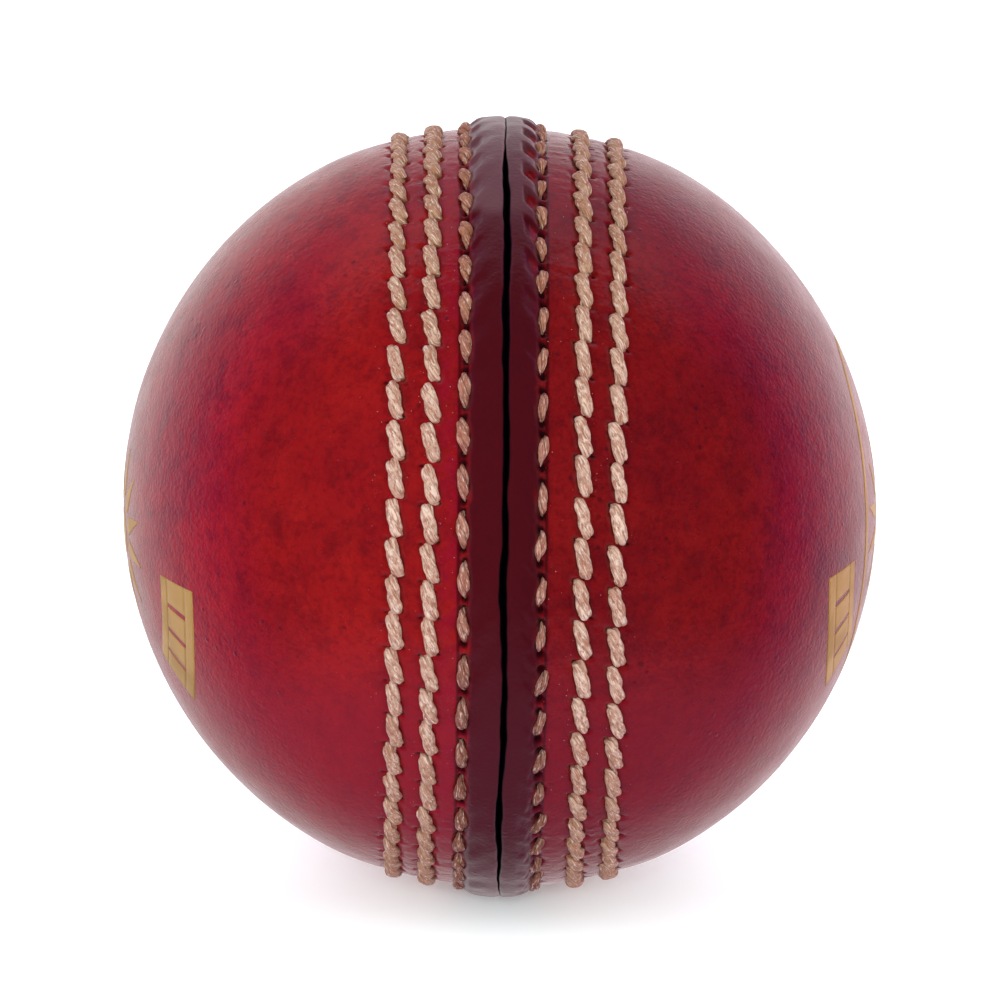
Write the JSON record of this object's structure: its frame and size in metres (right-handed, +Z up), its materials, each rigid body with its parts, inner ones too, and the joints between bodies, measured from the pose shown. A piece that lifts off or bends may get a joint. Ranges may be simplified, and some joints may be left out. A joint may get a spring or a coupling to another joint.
{
  "type": "cricket ball",
  "caption": "Hard red leather ball with a raised sewn seam around its middle, parallel rows of stitching on both sides of the joint, and a wound cork and twine core.",
  "frame": {"origin": "centre of the ball", "axes": "The seam lies in the YZ plane. +X is the ball's axis, out through the pole of the right-hand cup. -Y is the front that faces the viewer, and +Z is up."},
  "size_m": [0.0712, 0.0736, 0.0737],
  "materials": {
    "cork_rubber": "dull, granular",
    "twine": "fibrous, tightly wound",
    "cork": "dull, granular",
    "lining_leather": "thin undyed split leather",
    "cover_leather": "dyed crimson, waxed and polished",
    "thread": "twisted, waxed",
    "seam_thread": "twisted, waxed, darkened by polish",
    "gold_foil": "pressed foil"
  },
  "bodies": {
    "root": {"cork_nucleus": "cork_rubber", "twine_winding_1": "twine", "cork_layer_1": "cork", "twine_winding_2": "twine", "cork_layer_2": "cork", "twine_winding_3": "twine", "cork_layer_3": "cork", "twine_winding_4": "twine", "cork_layer_4": "cork", "twine_winding_5": "twine", "left_cover_lining": "lining_leather", "right_cover_lining": "lining_leather", "left_cover_half": "cover_leather", "right_cover_half": "cover_leather", "left_outer_stitches": "thread", "left_middle_stitches": "thread", "left_inner_stitches": "seam_thread", "right_inner_stitches": "seam_thread", "right_middle_stitches": "thread", "right_outer_stitches": "thread", "left_foil_emblem": "gold_foil", "right_foil_emblem": "gold_foil"}
  },
  "joints": []
}
